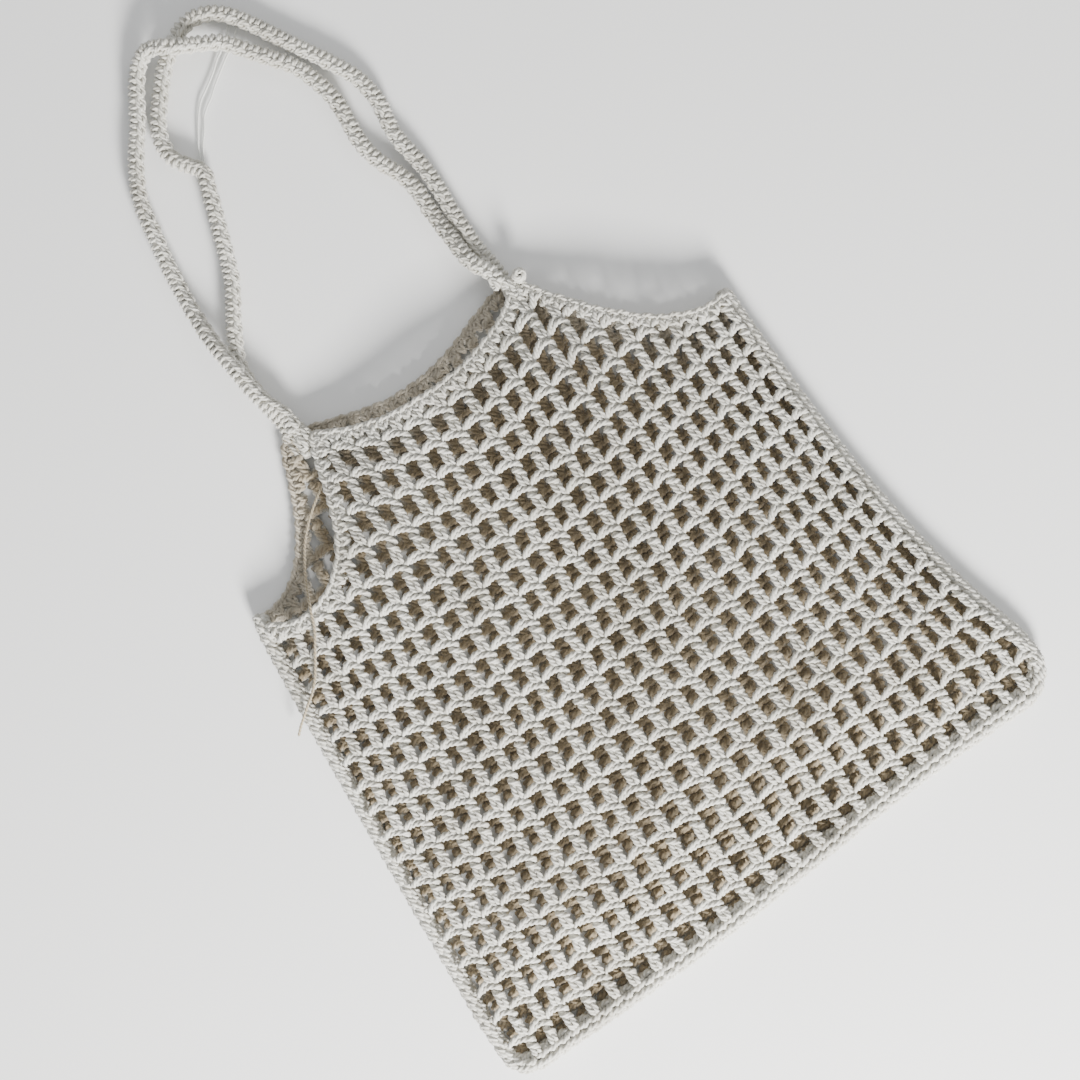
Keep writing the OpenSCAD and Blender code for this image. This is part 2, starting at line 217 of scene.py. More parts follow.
class Strands:
    """Lengths of yarn gathered for one piece: points, the way they face, and where each begins."""

    def __init__(self):
        self.points = []
        self.facing = []
        self.radius = []

    def add(self, points, facing, radius):
        if len(points) > 2:
            self.points.append(points)
            self.facing.append(facing)
            self.radius.append(radius)

    def add_inside(self, points, facing, inside, radius):
        """Adds the stretches of one length of yarn that lie inside."""
        edges = np.flatnonzero(np.diff(np.concatenate([[0], inside.astype(int), [0]])))
        for start, stop in zip(edges[::2], edges[1::2]):
            self.add(points[start:stop], facing[start:stop], radius)

    def arrays(self):
        counts = np.array([len(p) for p in self.points])
        strand = np.repeat(np.arange(len(counts)), counts)
        radius = np.repeat(np.array(self.radius), counts)
        return np.vstack(self.points), np.vstack(self.facing), strand, radius


def tube_mesh(name, strands, rng, sides=RING_SIDES, plies=PLIES, turn=TURN_LENGTH, inner=None):
    """One mesh of plied yarn: each ring turns a little, so that the plies wind along it."""
    points, facing, strand, radius = strands.arrays()
    count = len(points)
    same_next = np.concatenate([strand[1:] == strand[:-1], [False]])
    same_last = np.concatenate([[False], strand[1:] == strand[:-1]])
    ahead = np.where(same_next[:, None], np.roll(points, -1, 0), points)
    behind = np.where(same_last[:, None], np.roll(points, 1, 0), points)
    tangent = unit(ahead - behind)
    across = unit(np.cross(tangent, facing))
    up = np.cross(across, tangent)

    steps = np.where(same_last, np.linalg.norm(points - behind, axis=1), 0)
    total = np.cumsum(steps)
    first = np.flatnonzero(~same_last)
    along = total - total[first][strand]
    phase = rng.uniform(0, 2 * math.pi, len(first))[strand]

    tip = ~(same_next & same_last)
    side = 2 * math.pi * np.arange(sides) / sides
    ply = np.cos(plies * side)
    angle = side[None, :] + (phase + 2 * math.pi * along / turn)[:, None]
    reach = (radius * np.where(tip, 0.55, 1))[:, None] * (1 + PLY_DEPTH * ply)[None, :]
    verts = (points[:, None, :] + across[:, None, :] * (reach * np.cos(angle))[..., None]
             + up[:, None, :] * (reach * np.sin(angle))[..., None])

    rings = np.flatnonzero(same_next)
    k = np.arange(sides)
    a = rings[:, None] * sides + k
    b = rings[:, None] * sides + (k + 1) % sides
    quads = np.stack([a, b, b + sides, a + sides], -1).reshape(-1, 4)
    starts = first[:, None] * sides + k[::-1]
    ends = np.flatnonzero(~same_next)[:, None] * sides + k
    mesh = mesh_of(name, verts.reshape(-1, 3), [quads, starts, ends])

    tint = rng.uniform(0, 1, len(first))[strand]
    fibre = np.stack([np.tile(np.cos(side), (count, 1)), np.tile(np.sin(side), (count, 1)),
                      np.repeat(along[:, None] / (6 * MM), sides, 1)], -1)
    fibre += (10 * tint)[:, None, None]
    add_values(mesh, "ply", np.tile(ply, count))
    add_values(mesh, "tint", np.repeat(tint, sides))
    # The inner attribute holds how much painted shade each point takes where the yarn faces into the bag
    add_values(mesh, "inner", np.zeros(count * sides) if inner is None else inner(verts.reshape(-1, 3)))
    mesh.attributes.new("fibre", "FLOAT_VECTOR", "POINT").data.foreach_set(
        "vector", fibre.astype(np.float32).ravel())
    return mesh


def mesh_of(name, verts, faces):
    """A smooth mesh from arrays of faces, where each array holds faces of one size."""
    sizes = np.concatenate([np.full(len(f), f.shape[1], np.int32) for f in faces])
    corners = np.concatenate([f.ravel() for f in faces]).astype(np.int32)
    mesh = bpy.data.meshes.new(name)
    mesh.vertices.add(len(verts))
    mesh.vertices.foreach_set("co", verts.astype(np.float32).ravel())
    mesh.loops.add(len(corners))
    mesh.loops.foreach_set("vertex_index", corners)
    mesh.polygons.add(len(sizes))
    loop_starts = np.concatenate([[0], np.cumsum(sizes)[:-1]]).astype(np.int32)
    mesh.polygons.foreach_set("loop_start", loop_starts)
    mesh.polygons.foreach_set("loop_total", sizes)
    mesh.polygons.foreach_set("use_smooth", np.ones(len(sizes), bool))
    mesh.update(calc_edges=True)
    return mesh


def add_values(mesh, name, values):
    attribute = mesh.attributes.new(name, "FLOAT", "POINT")
    attribute.data.foreach_set("value", values.astype(np.float32))


def piece(name, mesh, material, slot, *nodes):
    obj = bpy.data.objects.new(name, mesh)
    bpy.context.scene.collection.objects.link(obj)
    mesh.materials.append(material)
    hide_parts(*nodes)
    return obj


# ---------------------------------------------------------------- the bag's outline and heights

def half_width(side, y):
    left_over = np.maximum(0, 1 - y / CORNER_HEIGHT)
    left = LEFT_FLARE * left_over**LEFT_FLARE_POWER
    right = RIGHT_FLARE * left_over**RIGHT_FLARE_POWER
    return np.minimum(HALF_BASE, HALF_CORNER + np.where(side < 0, left, right))


def base_line(x):
    return BASE_LIFT * smooth((x + 90 * MM) / (220 * MM))


def corner_radius(side):
    return np.where(side < 0, LEFT_CORNER_RADIUS, RIGHT_CORNER_RADIUS)


def corner_start(side):
    return HALF_BASE - SEAM_WIDTH / 2 - corner_radius(side)


def inner_base(x, gap):
    """A line inside the base band's inner edge by a gap, which rises round both corners."""
    across = corner_radius(x) - SEAM_WIDTH / 2 - gap
    up = corner_radius(x) - BAND_WIDTH / 2 - gap
    beyond = np.clip((np.abs(x) - corner_start(x)) / across, 0, 1)
    return base_line(x) + BAND_WIDTH + gap + up * (1 - np.sqrt(1 - beyond**2))


def armhole(x, shoulder, turn, dip):
    u = (np.abs(x) - shoulder) / (HALF_CORNER - shoulder)
    c = np.clip(u, 0, 1)
    rise = (SHOULDER_HEIGHT - CORNER_HEIGHT) * (1 - np.minimum(1, u)) ** turn
    return CORNER_HEIGHT + rise - dip * np.sin(math.pi * c) * c


def side_armhole(side, x, outline):
    left = armhole(x, outline[0], outline[3], outline[4])
    return np.where(side < 0, left, armhole(x, RIGHT, RIGHT_TURN, RIGHT_DIP))


def neckline(x, outline):
    middle = (RIGHT - outline[0]) / 2
    v = (x - middle) / ((RIGHT + outline[0]) / 2)
    return SHOULDER_HEIGHT - outline[1] * np.maximum(0, 1 - v * v) ** outline[2]


def moved_in(x, outline, distance):
    """The outline moved inwards by a distance measured square to it."""
    step = 0.5 * MM
    neck_slope = (neckline(x + step, outline) - neckline(x - step, outline)) / (2 * step)
    arm_slope = (side_armhole(x, x + step, outline) - side_armhole(x, x - step, outline)) / (2 * step)
    neck = neckline(x, outline) - distance * np.sqrt(1 + neck_slope**2)
    arm = side_armhole(x, x, outline) - distance * np.sqrt(1 + arm_slope**2)
    in_neck = (x > -outline[0]) & (x < RIGHT)
    return np.where(in_neck, np.minimum(neck, arm), arm)


def front_height(x, y):
    s = x / half_width(x, y)
    rise = smooth((y - base_line(x) - BAND_WIDTH) / BASE_RISE)
    left = np.hypot(x + FRONT_LEFT, y - SHOULDER_HEIGHT)
    right = np.hypot(x - RIGHT, y - SHOULDER_HEIGHT)
    near = np.minimum(left, right)
    gather = 1 - 0.9 * np.exp(-near**2 / (2 * SHOULDER_GATHER**2))
    bulge = FRONT_BULGE * (1 - np.minimum(1, np.abs(s)) ** 4)
    return FRONT_LEVEL + bulge * (0.15 + 0.85 * rise) * gather


# ---------------------------------------------------------------- open mesh panels

COLUMNS = 25
ROWS = 25
EDGE_CROWDING = 0.1
CELL_WIDTH = 14.4
CELL_HEIGHT = 16
MESH_DEPTH = 0.85
BACK_MESH_LEVEL = 3.7 * MM
# Within this depth below the back's upper edge its painted shade is lighter, down to 0.6 of full at the edge,
# where light reaches it
EDGE_LIGHT_DEPTH = 45 * MM
FIRST_ROW = 9 * MM
ROW_PITCH = 16 * MM
# The rows sag towards their lowest point. SAG is how far they rise SAG_REACH away from it, less
# SAG_LOSS of their height, and they are free of the base from SAG_START up.
SAG_MIDDLE = -40 * MM
SAG_REACH = 200 * MM
SAG = 35 * MM
SAG_LOSS = 0.055
SAG_START = 140 * MM
# From NECK_START up, over NECK_RISE, they are pulled up away from the middle of the neckline
NECK_PULL = 20 * MM
NECK_START = 260 * MM
NECK_RISE = 100 * MM
NECK_REACH = 80 * MM

# Unevenness of hand work: cells to a block, and how many cells its corners stray
WOBBLES = ((1, 0.045), (5, 0.1))
WOBBLE_LIFT = 5 * MM

# One cell of the mesh, in millimetres: along the row, up the column, and out towards the viewer
ROPE = [(2.2, -1.4, 0.2), (4.2, -0.3, 1.2), (6.4, 0.9, 1.8), (8.8, 1.5, 1.7), (11.4, 1.3, 1.2),
        (13.8, 0.6, 0), (15.6, -0.4, -1.5)]
ROW_CORE = [(2.6, -1.2, -0.6), (6, -0.1, -0.2), (9, 0.2, -0.2), (12.6, -0.2, -0.3), (16, -1, -0.8)]
WRAP = [(4.4, -1.6, -0.9), (6.6, -1, 0.6), (9.4, -0.8, 1.4), (12.2, -1.4, 2), (14.8, -2.5, 2),
        (16.7, -4.1, 1), (16.9, -5.8, -0.9), (14.6, -5.8, -2.2), (12.5, -5.4, -0.6), (13.1, -6.1, 1.3),
        (14.8, -7.4, 2), (16.5, -8.7, 1.2), (16.8, -9.9, 0.1), (15.6, -11, -1.8)]
LEFT_LEG = [(13.4, -6.7, 0), (12.9, -9.5, 1.2), (12.9, -12.4, 1.7), (13.4, -14.6, 1.5),
            (13.8, -16.2, 0.3), (14, -17.2, -1.3)]
RIGHT_LEG = [(16.1, -9.2, 0.3), (16.2, -12, 1.3), (16, -14.4, 1.5), (15.5, -16.2, 0.6),
             (15.1, -17.4, -0.9)]
POST_CORE = [(14.5, -3, -0.4), (14.6, -7, -0.3), (14.6, -12, -0.2), (14.5, -17, -0.6)]


def wobble(rng, cells, amount):
    """Smooth random shifts over the panel, one for each corner of a block of that many cells."""
    columns = math.ceil(COLUMNS / cells)
    rows = math.ceil(ROWS / cells)
    grid = rng.normal(0, amount, (columns + 3, rows + 3, 3))

    def at(u, v):
        i = np.clip(u / cells + 1, 0, columns + 1.999)
        j = np.clip(v / cells + 1, 0, rows + 1.999)
        i0 = i.astype(int)
        j0 = j.astype(int)
        fi = smooth(i - i0)[..., None]
        fj = smooth(j - j0)[..., None]
        low = grid[i0, j0] * (1 - fi) + grid[i0 + 1, j0] * fi
        high = grid[i0, j0 + 1] * (1 - fi) + grid[i0 + 1, j0 + 1] * fi
        return low * (1 - fj) + high * fj

    return at


def panel_xy(u, v):
    """Where a point of the mesh lies, from its place in columns and rows."""
    s = 2 * u / COLUMNS - 1
    f = s * (1 + EDGE_CROWDING * (1 - s * s))
    rough_x = f * HALF_CORNER
    height = FIRST_ROW + ROW_PITCH * v
    free = smooth(height / SAG_START)
    sag = (SAG - SAG_LOSS * height) * ((rough_x - SAG_MIDDLE) / SAG_REACH) ** 2
    from_neck = np.minimum(1, np.abs(rough_x / NECK_REACH))
    pull = NECK_PULL * smooth((height - NECK_START) / NECK_RISE) * from_neck**2
    y = height + base_line(rough_x) * (1 - free) + sag * free + pull
    x = f * (half_width(f, y) - SEAM_WIDTH)
    return x, y


def panel_point(u, v, out, shifts, is_front):
    """Points and facing directions on a panel. The back's cells lie half a cell off the front's."""
    if not is_front:
        u = u + 0.5
        v = v - 0.5
    moved = sum(shift(u, v) for shift in shifts)
    x, y = panel_xy(u + moved[..., 0], v + moved[..., 1])
    lift = out + moved[..., 2] * WOBBLE_LIFT
    if is_front:
        step = 2 * MM
        z = front_height(x, y)
        slope_x = (front_height(x + step, y) - front_height(x - step, y)) / (2 * step)
        slope_y = (front_height(x, y + step) - front_height(x, y - step)) / (2 * step)
        facing = unit(np.stack([-slope_x, -slope_y, np.ones_like(x)], -1))
    else:
        z = np.full_like(x, BACK_MESH_LEVEL)
        facing = np.broadcast_to([0.0, 0.0, -1.0], (*x.shape, 3))
    return np.stack([x, y, z], -1) + facing * lift[..., None], facing


def in_panel(points, outline):
    x = points[..., 0]
    y = points[..., 1]
    below_top = y < moved_in(x, outline, 0.6 * RIM_WIDTH)
    in_side = np.abs(x) < half_width(x, y) - SEAM_WIDTH / 2
    return below_top & in_side & (y > inner_base(x, -BAND_WIDTH / 4))


def mesh_strands(is_front, first, last, shifts, rng):
    """The yarn of the panel's columns from first to last."""
    strands = Strands()
    outline = FRONT_OUTLINE if is_front else BACK_OUTLINE
    yarn = MESH_YARN if is_front else BACK_YARN

    def lay(u, v, out):
        points, facing = panel_point(u, v, out * MM * MESH_DEPTH, shifts, is_front)
        inside = in_panel(points, outline)
        placed = points + [0, BASE_Y, 0]
        for row in range(len(points)):
            if inside[row].any():
                strands.add_inside(placed[row], facing[row], inside[row], yarn * rng.uniform(0.95, 1.05))

    if first == 0 and not is_front:
        first = -1
    rope_points = [(x + CELL_WIDTH * n, y, out) for n in range(first - 1, last + 1) for x, y, out in ROPE]
    rope = through(rope_points, RING_SPACING / MM)
    rope = rope[(rope[:, 0] > first * CELL_WIDTH - 1) & (rope[:, 0] < last * CELL_WIDTH + 1)]
    rows = np.arange(1, ROWS + 1)
    lay(np.broadcast_to(rope[:, 0] / CELL_WIDTH, (ROWS, len(rope))),
        rows[:, None] + rope[:, 1] / CELL_HEIGHT,
        np.broadcast_to(rope[:, 2], (ROWS, len(rope))))

    cells = np.array([(column, row) for column in range(first, last) for row in rows], float)
    for pattern in (ROW_CORE, WRAP, LEFT_LEG, RIGHT_LEG, POST_CORE):
        template = through(pattern, RING_SPACING / MM)
        lay(cells[:, :1] + template[:, 0] / CELL_WIDTH,
            cells[:, 1:] + template[:, 1] / CELL_HEIGHT,
            np.broadcast_to(template[:, 2], (len(cells), len(template))))
    return strands


def front_painted_shade(verts):
    """How much painted shade a point of the front panel takes, from 0 to 1: all of it where the point faces
    into the bag.
    """
    level = front_height(verts[:, 0], verts[:, 1] - BASE_Y)
    return smooth((level - verts[:, 2]) / (2 * MM))


def back_painted_shade(verts):
    """The same painted shade for the back panel, with less of it near its upper edge, where light reaches it.
    """
    depth = moved_in(verts[:, 0], BACK_OUTLINE, 0) - (verts[:, 1] - BASE_Y)
    shaded = 0.6 + 0.4 * smooth(depth / EDGE_LIGHT_DEPTH)
    return shaded * smooth((verts[:, 2] - BACK_MESH_LEVEL + 1 * MM) / (2 * MM))


# ---------------------------------------------------------------- edgings, bands and handles

RIM_YARN = 1.45 * MM
STITCH = 7.5
RIM_SPACING = 1.2 * MM

# A rim's stitch, in millimetres: along the rim, outwards across it, and up
EDGE_LOOP = [(0, 0.4, 0.2), (2.2, 2, 1.5), (5.6, 2.6, 1.3), (8.6, 1, 0.1), (9.6, 0.2, -1.2)]
FIRST_POST = [(1.2, 0.8, 0.9), (1.8, -1.5, 1.7), (3, -3.6, 1.2), (3.4, -5.2, -0.4)]
SECOND_POST = [(5.8, 0.8, 0.9), (5, -1.6, 1.7), (3.9, -3.6, 1.3), (3.6, -5.2, -0.4)]

# One leg of a solid band's V-shaped stitch: along in millimetres, round in rows, out in millimetres
BAND_LEG = [(0, 0.04, -1.9), (1.4, -0.24, -0.1), (3.8, -0.3, 0.5), (6.4, -0.2, 0.3), (8.8, -0.03, -1.3)]
BAND_ROWS = 4


class Line:
    """A path with a frame of directions, read at any distance along it."""

    def __init__(self, points, half_w, half_h, spacing=1 * MM):
        sizes = np.stack([np.broadcast_to(half_w, len(points)), np.broadcast_to(half_h, len(points))], 1)
        rich = through(np.hstack([points, sizes]), spacing)
        self.points = rich[:, :3]
        self.sizes = rich[:, 3:]
        self.along = arc_length(self.points)
        self.length = self.along[-1]
        tangent = unit(np.gradient(self.points, axis=0))
        self.across = unit(np.cross(tangent, [0.0, 0.0, 1.0]))
        self.up = np.cross(self.across, tangent)

    def read(self, values, along):
        return np.stack([np.interp(along, self.along, values[:, k]) for k in range(values.shape[1])], -1)

    def flat(self, along, out, up):
        """Points beside the path: out across it, and up."""
        across = self.read(self.across, along)
        rise = self.read(self.up, along)
        return self.read(self.points, along) + across * out[..., None] + rise * up[..., None]

    def around(self, along, angle, out, yarn):
        """Points on the path's oval section, with the way they face. out is from the yarn's own place."""
        size = self.read(self.sizes, along) - yarn + out[..., None]
        across = self.read(self.across, along)
        rise = self.read(self.up, along)
        cos = np.cos(angle)[..., None]
        sin = np.sin(angle)[..., None]
        points = self.read(self.points, along) + across * size[..., :1] * cos + rise * size[..., 1:] * sin
        return points, unit(across * cos / size[..., :1] + rise * sin / size[..., 1:])


def rim_strands(line, outward, rng):
    """Edging along a rim: a chain of loops on its outer edge, and slanted posts inside it."""
    strands = Strands()
    add_core(strands, line, 2.1 * MM)
    count = max(2, round(line.length / MM / STITCH))
    pitch = line.length / count
    for pattern in (EDGE_LOOP, FIRST_POST, SECOND_POST):
        template = through(pattern, RIM_SPACING / MM) * MM
        for n in range(count):
            for face in (1, -1):
                jitter = rng.normal(0, 0.25 * MM, 3)
                along = np.clip(template[:, 0] + (n + 0.15 * (1 - face)) * pitch + jitter[0], 0, line.length)
                up = face * (template[:, 2] + 0.4 * jitter[2])
                points = line.flat(along, outward * (template[:, 1] + jitter[1]), up)
                rise = face * line.read(line.up, along)
                strands.add(points, rise, RIM_YARN * rng.uniform(0.94, 1.04))
    return strands


def add_core(strands, line, radius):
    """A run of yarn colour inside a band, so that no gap between its stitches shows through."""
    along = np.linspace(1 * MM, line.length - 1 * MM, max(4, round(line.length / (2 * MM))))
    strands.add(line.read(line.points, along), line.read(line.up, along), radius)


def band_strands(line, rng, yarn=BAND_YARN, pitch_wanted=STITCH, rows=BAND_ROWS):
    """Solid crochet wrapped round a band: rows of V-shaped stitches."""
    strands = Strands()
    add_core(strands, line, line.sizes.min() - 1.3 * yarn)
    count = max(2, round(line.length / MM / pitch_wanted))
    pitch = line.length / count
    for mirror in (1, -1):
        shape = np.array(BAND_LEG) * [1, mirror * STITCH, 1]
        template = through(shape, RIM_SPACING / MM) / [STITCH, STITCH, 1]
        for row in range(rows):
            for n in range(count):
                jitter = rng.normal(0, 0.03, 3)
                along = np.clip((n + template[:, 0] + 0.5 * (row % 2) - 0.25 + jitter[0]) * pitch,
                                0, line.length)
                angle = 2 * math.pi * (row + 0.5 + template[:, 1] + jitter[1]) / rows
                points, facing = line.around(along, angle, template[:, 2] * MM, yarn)
                strands.add(points, facing, yarn * rng.uniform(0.95, 1.05))
    return strands


CHAIN_LEG = [(0, 0, -0.6), (2.4, 24, 0.3), (5.6, 34, 0.2), (8.6, 12, -0.5), (9.4, 2, -1.4)]
CHAIN_ANGLE = 35
RIB = [(0, 78, -0.8), (0.5, 105, 0.1), (1.2, 150, 0.2), (1.8, 200, 0.2), (2.2, 250, 0.1), (2.4, 300, -0.4),
       (2.2, 345, -0.9)]
RIB_PITCH = 3.75
HANDLE_CORE = 3.3 * MM


def handle_strands(line, rng):
    """A handle: a chain of V-shaped loops along one side, and close ribs round the other."""
    strands = Strands()
    add_core(strands, line, HANDLE_CORE)

    def repeat(pattern, pitch_wanted, mirror):
        count = round(line.length / MM / pitch_wanted)
        pitch = line.length / count
        shape = np.array(pattern) * [1, 0.08, 1]
        template = through(shape, RIM_SPACING / MM) / [1, 0.08, 1]
        for n in range(count):
            jitter = rng.normal(0, 1, 3) * [0.2, 3, 0.1]
            along = np.clip(n * pitch + (template[:, 0] + jitter[0]) * MM, 0, line.length)
            angle = np.radians(CHAIN_ANGLE + mirror * template[:, 1] + jitter[1])
            points, facing = line.around(along, angle, (template[:, 2] + jitter[2]) * MM, RIM_YARN)
            strands.add(points, facing, RIM_YARN * rng.uniform(0.92, 1.04))

    repeat(CHAIN_LEG, STITCH, 1)
    repeat(CHAIN_LEG, STITCH, -1)
    repeat([(x, angle - CHAIN_ANGLE, out) for x, angle, out in RIB], RIB_PITCH, 1)
    return strands


# ---------------------------------------------------------------- materials

def node(tree, kind, **inputs):
    made = tree.nodes.new(kind)
    for name, value in inputs.items():
        made.inputs[name.replace("_", " ")].default_value = value
    return made


def attribute(tree, name):
    made = tree.nodes.new("ShaderNodeAttribute")
    made.attribute_name = name
    return made


def mix_colour(tree, factor, a, b, blend="MIX"):
    """A colour mix. Each of factor, a and b is a socket or a plain value."""
    made = tree.nodes.new("ShaderNodeMix")
    made.data_type = "RGBA"
    made.blend_type = blend
    for socket, value in ((made.inputs[0], factor), (made.inputs[6], a), (made.inputs[7], b)):
        if isinstance(value, bpy.types.NodeSocket):
            tree.links.new(value, socket)
        elif isinstance(value, tuple):
            socket.default_value = (*value, 1)
        else:
            socket.default_value = value
    return made.outputs[2]


def ramp(tree, source, low, high):
    """Maps a value from low..high to 0..1."""
    made = tree.nodes.new("ShaderNodeMapRange")
    made.inputs["From Min"].default_value = low
    made.inputs["From Max"].default_value = high
    tree.links.new(source, made.inputs["Value"])
    return made.outputs["Result"]


def yarn_material(name, light, shade, inner, roughness=0.82):
    """Cotton yarn: painted shade between its plies, fine fibres along them, and slow changes of tone.

    Where it faces into the bag it is tinted with the inner colour. The tint stands for the shade
    seen through the holes, and isn't meant as the yarn's own colour.
    """
    material = bpy.data.materials.new(name)
    material.use_nodes = True
    tree = material.node_tree
    shader = tree.nodes["Principled BSDF"]
    shader.inputs["Specular IOR Level"].default_value = 0.3
    shader.inputs["Sheen Weight"].default_value = 0.25
    shader.inputs["Sheen Roughness"].default_value = 0.6

    fibre = attribute(tree, "fibre").outputs["Vector"]
    streaks = node(tree, "ShaderNodeTexNoise", Scale=4.5, Detail=3, Roughness=0.6)
    tree.links.new(fibre, streaks.inputs["Vector"])
    place = tree.nodes.new("ShaderNodeTexCoord").outputs["Object"]
    patches = node(tree, "ShaderNodeTexNoise", Scale=26, Detail=2)
    tree.links.new(place, patches.inputs["Vector"])
    fuzz = node(tree, "ShaderNodeTexNoise", Scale=2600, Detail=2)
    tree.links.new(place, fuzz.inputs["Vector"])

    # Painted shade: the colour is darkened in the grooves between plies. The shade colour also serves as the
    # darker random tone of the streaks and patches.
    groove_shade_mask = ramp(tree, attribute(tree, "ply").outputs["Fac"], 0.2, -1)
    colour = mix_colour(tree, ramp(tree, streaks.outputs["Fac"], 0.35, 0.7), light, shade)
    colour = mix_colour(tree, ramp(tree, patches.outputs["Fac"], 0.4, 0.75), colour, shade)
    groove_shade_colour = mix_colour(tree, 0.7, colour, shade, "MULTIPLY")
    colour = mix_colour(tree, groove_shade_mask, colour, groove_shade_colour)
    tinted = mix_colour(tree, 1.0, colour, (0.93, 0.92, 0.9), "MULTIPLY")
    colour = mix_colour(tree, attribute(tree, "tint").outputs["Fac"], colour, tinted)
    # Painted shade: where the yarn faces into the bag, its colour is multiplied by the inner colour
    painted_shade_colour = mix_colour(tree, 1.0, colour, inner, "MULTIPLY")
    colour = mix_colour(tree, attribute(tree, "inner").outputs["Fac"], colour, painted_shade_colour)
    tree.links.new(colour, shader.inputs["Base Color"])

    rough = tree.nodes.new("ShaderNodeMapRange")
    rough.inputs["To Min"].default_value = roughness - 0.1
    rough.inputs["To Max"].default_value = roughness + 0.12
    tree.links.new(streaks.outputs["Fac"], rough.inputs["Value"])
    tree.links.new(rough.outputs["Result"], shader.inputs["Roughness"])

    height = tree.nodes.new("ShaderNodeMath")
    height.operation = "ADD"
    tree.links.new(streaks.outputs["Fac"], height.inputs[0])
    tree.links.new(fuzz.outputs["Fac"], height.inputs[1])
    bump = node(tree, "ShaderNodeBump", Strength=0.6, Distance=0.25 * MM)
    tree.links.new(height.outputs[0], bump.inputs["Height"])
    tree.links.new(bump.outputs["Normal"], shader.inputs["Normal"])
    return material


def thread_material():
    """Fine translucent polyester thread."""
    material = bpy.data.materials.new("thread")
    material.use_nodes = True
    tree = material.node_tree
    shader = tree.nodes["Principled BSDF"]
    shader.inputs["Roughness"].default_value = 0.4
    twist = node(tree, "ShaderNodeTexNoise", Scale=5, Detail=2)
    tree.links.new(attribute(tree, "fibre").outputs["Vector"], twist.inputs["Vector"])
    colour = mix_colour(tree, twist.outputs["Fac"], (0.86, 0.87, 0.84), (0.7, 0.7, 0.66))
    tree.links.new(colour, shader.inputs["Base Color"])
    bump = node(tree, "ShaderNodeBump", Strength=0.4, Distance=0.1 * MM)
    tree.links.new(twist.outputs["Fac"], bump.inputs["Height"])
    tree.links.new(bump.outputs["Normal"], shader.inputs["Normal"])
    return material


# ---------------------------------------------------------------- making the pieces

HANDLE_FOOT = 10 * MM
RIM_END_GAP = 5 * MM
RIM_HALF_HEIGHT = 3.2 * MM
TAIL_SIZE = 1.6 * MM
THREAD_SIZE = 1.2 * MM


def past_shoulders(route):
    return np.array(route) + [0, SHOULDER_Y, 0]


def rim_line(outline, from_x, to_x, level=None):
    x = np.linspace(from_x, to_x, 27)
    y = moved_in(x, outline, RIM_WIDTH / 2)
    z = front_height(x, y) if level is None else np.full_like(x, level)
    return Line(np.stack([x, y + BASE_Y, z], 1), RIM_WIDTH / 2, RIM_HALF_HEIGHT)


def make_handle(name, route, material, rng):
    """A handle along its route, and on down to the top of each shoulder it grows from."""
    past = past_shoulders(route)
    down = [0, HANDLE_FOOT, 0]
    points = np.vstack([past[0] - down, past, past[-1] - down])
    line = Line(points, HANDLE_WIDTH / 2, HANDLE_WIDTH / 2)
    mesh = tube_mesh(name, handle_strands(line, rng), rng)
    made = piece(name + "_yarn", mesh, material, "handle_yarn", name)
    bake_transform(made)
    return made


def make_rim(name, outline, from_x, to_x, outward, level, material, rng):
    """An edging along a stretch of a panel's outline."""
    line = rim_line(outline, from_x, to_x, level)
    # Back rims take the back panel's painted shade on their faces into the bag
    inner = None if level is None else back_painted_shade
    mesh = tube_mesh(name, rim_strands(line, outward, rng), rng, inner=inner)
    return piece(name + "_yarn", mesh, material, "solid_crochet", name)


def make_rims(material, rng):
    edge = HALF_CORNER - RIM_END_GAP
    # name, outline, first and last x, which side of the path is outwards, level of a back rim
    rims = [
        ("front_neck_rim", FRONT_OUTLINE, -FRONT_LEFT, RIGHT, -1, None),
        ("front_left_armhole_rim", FRONT_OUTLINE, -edge, -FRONT_LEFT, -1, None),
        ("front_right_armhole_rim", FRONT_OUTLINE, edge, RIGHT, 1, None),
        ("back_neck_rim", BACK_OUTLINE, -BACK_LEFT, RIGHT, -1, BACK_RIM_LEVEL),
        ("back_left_armhole_rim", BACK_OUTLINE, -edge, -BACK_LEFT, -1, BACK_RIM_LEVEL),
        ("back_right_armhole_rim", BACK_OUTLINE, edge, RIGHT, 1, BACK_RIM_LEVEL),
    ]
    for name, outline, from_x, to_x, outward, level in rims:
        made = make_rim(name, outline, from_x, to_x, outward, level, material, rng)
        if name.startswith("back"):
            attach(made, "back")
        elif "armhole" in name:
            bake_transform(made)
        else:
            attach(made, "front")


def make_band(name, points, half_w, half_h, material, rng):
    """Solid crochet round a core, along a path given above the base."""
    line = Line(np.array(points) + [0, BASE_Y, 0], half_w, half_h)
    mesh = tube_mesh(name, band_strands(line, rng), rng)
    made = piece(name + "_yarn", mesh, material, "solid_crochet", name)
    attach(made, "back")
    return made


